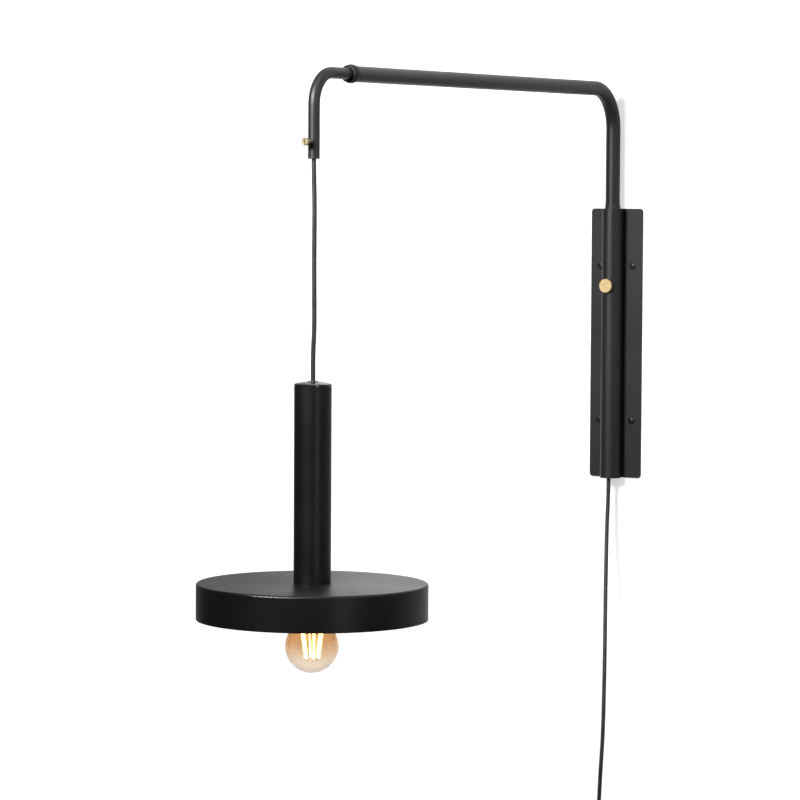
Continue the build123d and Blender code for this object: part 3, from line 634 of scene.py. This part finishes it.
def make_tie(material):
    """A flat strap wound round the coil, its rounded end lying over its start."""
    middle_y = COIL_MIDDLE[1] + COIL_PITCH * COIL_TURNS / 2
    centre = Vector((COIL_MIDDLE[0], middle_y, COIL_MIDDLE[2] - COIL_R))
    outer, inner = tie_loop(0.0), tie_loop(-TIE_THICK)
    over, under = tie_loop(TIE_THICK + TIE_GAP), tie_loop(TIE_GAP)
    line = [(out, within, 1.0) for out, within in zip(outer, inner)]
    line.append(((outer[0][0] - TIE_RISE, 0.0), (inner[0][0] - TIE_RISE, 0.0), 1.0))
    last = TIE_CORNER_STEPS + 1
    for k in range(1, last + 1):
        line.append((over[k], under[k], 1.0))
    for reach, share in TIE_END:
        y = over[last][0] + reach * TIE_LAP
        line.append(((y, over[last][1]), (y, under[last][1]), share))
    shell = bmesh.new()
    rings = []
    for (out_y, out_z), (in_y, in_z), share in line:
        half = TIE_WIDTH / 2 * share
        corners = ((-half, out_y, out_z), (half, out_y, out_z), (half, in_y, in_z), (-half, in_y, in_z))
        rings.append([shell.verts.new((centre + Vector(corner)) * MM) for corner in corners])
    join_rings(shell, rings)
    shell.faces.new(rings[0])
    shell.faces.new(rings[-1])
    tie = finish_mesh("wound_tie", shell, material)
    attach(tie, "wall_bracket")
    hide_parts("coil_tie")
    return tie


# outlines of the arm's liner in millimetres: distance from the mast's axis, and radius
LINER_OUTSIDE = ((698.0, 9.3), (732.5, 9.3), (735.0, 9.9), (735.6, 9.6))
LINER_INSIDE = ((735.6, 8.4), (735.0, 7.95), (698.0, 7.9))
ARM_HEIGHT = 376.0
MAST_Y = -17.0
LINER_SIDES = 48  # faces round it


def make_liner(material):
    """The bush the inner arm slides in; its rounded nose fills the collar's mouth."""
    shell = bmesh.new()
    rings = []
    for reach, radius in LINER_OUTSIDE + LINER_INSIDE:
        rings.append([
            shell.verts.new(Vector((
                radius * cos(TURN * k / LINER_SIDES),
                MAST_Y - reach,
                ARM_HEIGHT + radius * sin(TURN * k / LINER_SIDES),
            )) * MM)
            for k in range(LINER_SIDES)
        ])
    join_rings(shell, rings + rings[:1])
    liner = finish_mesh("nosed_liner", shell, material)
    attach(liner, "arm")
    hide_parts("arm_liner")


# the bulb's filaments, in millimetres; an end is its distance from the bulb's axis and its height
FILAMENTS = 6
FILAMENT_TURN = radians(15)
FILAMENT_TOP = (14.5, -340.5)
FILAMENT_FOOT = (8.6, -380.5)
BULB_Y = -835.0
COAT_R = 1.35
CARRIER_R = 0.7
BARE_END = 0.045  # share of a filament's length without its coat, at each end


def make_filaments(coat, metal):
    """Six coated strips, each with the bare ends of its carrier."""
    strips, carriers = bmesh.new(), bmesh.new()
    for i in range(FILAMENTS):
        angle = FILAMENT_TURN + i * TURN / FILAMENTS
        ends = [
            Vector((reach * cos(angle), BULB_Y + reach * sin(angle), height)) * MM
            for reach, height in (FILAMENT_TOP, FILAMENT_FOOT)
        ]
        lean = ends[1] - ends[0]
        turned = lean.to_track_quat("Z", "Y").to_matrix().to_4x4()
        turned.translation = (ends[0] + ends[1]) / 2
        coated = lean.length * (1 - 2 * BARE_END)
        rounded = bmesh.ops.create_uvsphere(
            strips, u_segments=16, v_segments=8, radius=COAT_R * MM, matrix=Matrix(),
        )
        for vertex in rounded["verts"]:
            vertex.co.z += copysign(coated / 2 - COAT_R * MM, vertex.co.z)
            vertex.co = turned @ vertex.co
        bmesh.ops.create_cone(
            carriers, cap_ends=True, segments=12, radius1=CARRIER_R * MM, radius2=CARRIER_R * MM,
            depth=lean.length, matrix=turned,
        )
    lit = finish_mesh("filament_strips", strips, coat)
    bare = finish_mesh("filament_carriers", carriers, metal)
    for made in (lit, bare):
        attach(made, "pendant")
    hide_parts("filaments")


# ------------------------------------------------------------------ stage
WALL_GAP = 0.0004  # the wall stands this far behind the back plate
WALL_HALF = 6.0
FLOOR_HEIGHT = -1.45


def plane_piece(name, corners, material):
    """A flat piece of the stage."""
    shell = bmesh.new()
    shell.faces.new([shell.verts.new(corner) for corner in corners])
    mesh = bpy.data.meshes.new(name)
    shell.to_mesh(mesh)
    shell.free()
    made = bpy.data.objects.new(name, mesh)
    mesh.materials.append(material)
    bpy.context.scene.collection.objects.link(made)
    return made


# The wall's lighter stretch is a painted pool of light: it stands in for where the lamps fall on the
# wall, and only the lamp's reflections show it.
WALL_LIGHT = 0.80
WALL_DARK = 0.30
WALL_LIGHT_STARTS = (-0.66, -0.40)  # from left to right, the light stretch comes up here
WALL_LIGHT_ENDS = (-0.15, 0.12)  # and goes down again here
WALL_UPPER = (0.25, 0.65)  # but not all the way above these heights
WALL_UPPER_SHARE = 0.75
# the lift is a painted glow: emission that makes the wall look evenly white only where it is looked at
WALL_LIFT_LIGHT = 0.15  # what makes each stretch white when it is looked at
WALL_LIFT_DARK = 0.85


def wall_with_painted_pool():
    """Matt wall with a painted pool of light, a lighter stretch which only reflections show: looked at,
    a painted glow makes it all white.

    It doesn't hide the lamp from somebody behind it.
    """
    s = Shader("stage_wall")
    # painted pool of light: lighter between these X and towards the top
    rising = s.ranged(s.axis("X"), 0.0, 1.0, *WALL_LIGHT_STARTS)
    falling = s.ranged(s.axis("X"), 1.0, 0.0, *WALL_LIGHT_ENDS)
    upper = s.ranged(s.axis("Z"), 0.0, WALL_UPPER_SHARE, *WALL_UPPER)
    share = s.maths("MULTIPLY", rising, s.maths("MAXIMUM", falling, upper))
    lift = s.ranged(share, WALL_LIFT_DARK, WALL_LIFT_LIGHT)
    paint = s.node("ShaderNodeBsdfPrincipled", {
        "Base Color": s.blended(share, grey(WALL_DARK), grey(WALL_LIGHT)),
        "Roughness": 0.9, "Specular IOR Level": 0.1,
        "Emission Color": (1.0, 1.0, 1.0, 1.0),
        "Emission Strength": s.maths("MULTIPLY", lift, s.looked_at()),
    })
    return s.one_sided(paint)


FLOOR_LIFT = 0.5


def floor_paint():
    """Matt pale floor, which doesn't hide the lamp from somebody below it."""
    s = Shader("stage_floor")
    return s.one_sided(s.node("ShaderNodeBsdfPrincipled", {
        "Base Color": s.blended(s.noise(2.0, 3.0), grey(0.36), grey(0.40)), "Roughness": 0.8,
        "Emission Color": (1.0, 1.0, 1.0, 1.0),
        "Emission Strength": s.maths("MULTIPLY", FLOOR_LIFT, s.looked_at()),
    }))


def make_stage():
    w, g, f = WALL_HALF, WALL_GAP, FLOOR_HEIGHT
    wall = [(-w, g, f), (w, g, f), (w, g, w), (-w, g, w)]
    floor = [(-w, -w, f), (w, -w, f), (w, w, f), (-w, w, f)]
    plane_piece("stage_wall", wall, wall_with_painted_pool())
    plane_piece("stage_floor", floor, floor_paint())


def softbox(name, place, target, width, height, watts):
    """A white area light that points at a place and isn't itself in the picture."""
    data = bpy.data.lights.new(name, "AREA")
    data.shape = "RECTANGLE"
    data.size = width
    data.size_y = height
    data.energy = watts
    lamp = bpy.data.objects.new(name, data)
    lamp.location = place
    lamp.rotation_euler = (Vector(target) - Vector(place)).to_track_quat("-Z", "Y").to_euler()
    lamp.visible_camera = False
    bpy.context.scene.collection.objects.link(lamp)


# name, place, what it points at, width, height, watts
LIGHTS = (
    ("key", (-0.15, -2.2, 0.95), (0.0, -0.4, 0.15), 0.65, 0.6, 90),
    ("side", (0.66, -1.22, -0.12), (0.0, -0.83, -0.15), 0.18, 0.6, 0.6),
    ("fill", (2.2, -0.9, 0.9), (0.0, -0.3, 0.2), 1.1, 1.1, 14),
    ("top", (0.4, -1.2, 2.4), (0.0, -0.4, 0.0), 1.2, 1.2, 18),
)
ROOM_LIGHT = 0.03  # what the dark studio lends the lamp's surfaces
ROOM_SEEN = 0.6  # how pale the same studio looks beyond the floor and the wall


def make_lights():
    for name, place, target, width, height, watts in LIGHTS:
        softbox(name, place, target, width, height, watts)
    world = bpy.data.worlds.new("studio")
    world.use_nodes = True
    tree = world.node_tree
    background = tree.nodes["Background"]
    background.inputs["Color"].default_value = (1.0, 1.0, 1.0, 1.0)
    rays = tree.nodes.new("ShaderNodeLightPath")
    strength = tree.nodes.new("ShaderNodeMath")
    strength.operation = "MULTIPLY_ADD"
    strength.inputs[1].default_value = ROOM_SEEN
    strength.inputs[2].default_value = ROOM_LIGHT
    tree.links.new(rays.outputs["Is Camera Ray"], strength.inputs[0])
    tree.links.new(strength.outputs[0], background.inputs["Strength"])
    bpy.context.scene.world = world
    bpy.context.scene.view_settings.view_transform = "Standard"


# ------------------------------------------------------------------ build
jacket = cord_jacket("cord_jacket", 0.012, 0.42)
lead = make_mains_lead(jacket)
make_suspension_cord(jacket)
plug_black = moulded_plastic("plug_moulding", 0.014, 0.45)
steel = bare_metal("plain_steel", 0.55, 0.3)
lead_pieces = [
    make_relief(plug_black),
    make_plug_body(plug_black),
    *make_pins(bare_metal("nickel_plating", 0.72, 0.18, warm=0.03), plug_black),
    make_tie(moulded_plastic("tie_strap", 0.02, 0.6)),
]
make_filaments(lit_filament("lit_filament"), steel)

charcoal = painted_metal("charcoal_powder_coat", 0.0070, 0.46, 0.42)
black_coat = painted_metal("black_powder_coat", 0.0018, 0.37, 0.32, warm=0.12)
screw_black = bare_metal("blackened_steel", 0.05, 0.34)
plastic = moulded_plastic("black_moulded_plastic", 0.012, 0.5)
brass_light = (0.60, 0.46, 0.26, 1.0)
brass_dark = (0.49, 0.35, 0.16, 1.0)
# a darker copy of the knob's brass for the small tip screw: painted shade, for the shade the screw sits
# in
shaded_screw_light = (0.35, 0.29, 0.18, 1.0)
shaded_screw_dark = (0.22, 0.18, 0.10, 1.0)

make_liner(plastic)

FINISHES = {
    "charcoal": (charcoal, "back_plate guide_tube arm_tube inner_tube tip_insert"),
    "collar": (painted_metal("charcoal_matt_coat", 0.0085, 0.66, 0.30), "arm_collar"),
    "black": (black_coat, "shade pendant_tube"),
    # the cap's lighter, glossier copy of the black coat: its lighter tone is a painted reflection, on
    # the same paint as the shade
    "cap": (painted_metal("black_coat_painted_reflection", 0.004, 0.20, 1.0, warm=0.05), "pendant_cap"),
    "screws": (screw_black, "wall_screws"),
    "plastic": (
        plastic,
        "top_bush outlet_plug glide_ring arm_liner inner_glide tip_bush cord_grip cap_gland holder_body",
    ),
    "knob": (
        turned_metal("knob_brass", brass_light, brass_dark, 0.5, node_centre("clamp_knob"), 0.0003),
        "clamp_knob clamp_pad clamp_insert",
    ),
    # the tip screw's brass is darkened: painted shade
    "cord_screw": (
        turned_metal("shaded_screw_brass", shaded_screw_light, shaded_screw_dark, 0.42, node_centre("cord_screw"), 0.0002),
        "cord_screw cord_pad centre_contact",
    ),
    "steel": (steel, "glide_clips tube_foot nipple nipple_nut bulb_contact filament_wires filaments"),
    "cord": (jacket, "arm_lead tip_lead pendant_lead cord_neck wall_cord cord_coil cord_tail drop_cord"),
    "plug": (plug_black, "plug_relief plug_body plug_pins coil_tie"),
    "ceramic": (glazed_ceramic("glazed_ceramic"), "holder_base"),
    "shell": (bare_metal("screw_shell_metal", 0.66, 0.22, warm=0.06), "holder_shell bulb_cap"),
    "insulator": (moulded_plastic("cap_glass_black", 0.01, 0.2), "bulb_insulator"),
    "glass": (tinted_glass("tinted_globe_glass"), "bulb_glass"),
    "stem": (clear_glass("stem_glass"), "bulb_stem"),
}
for material, names in FINISHES.values():
    for name in names.split():
        mesh = frame["nodes"][name].data
        for i in range(len(mesh.materials)):
            mesh.materials[i] = material

make_stage()
make_lights()
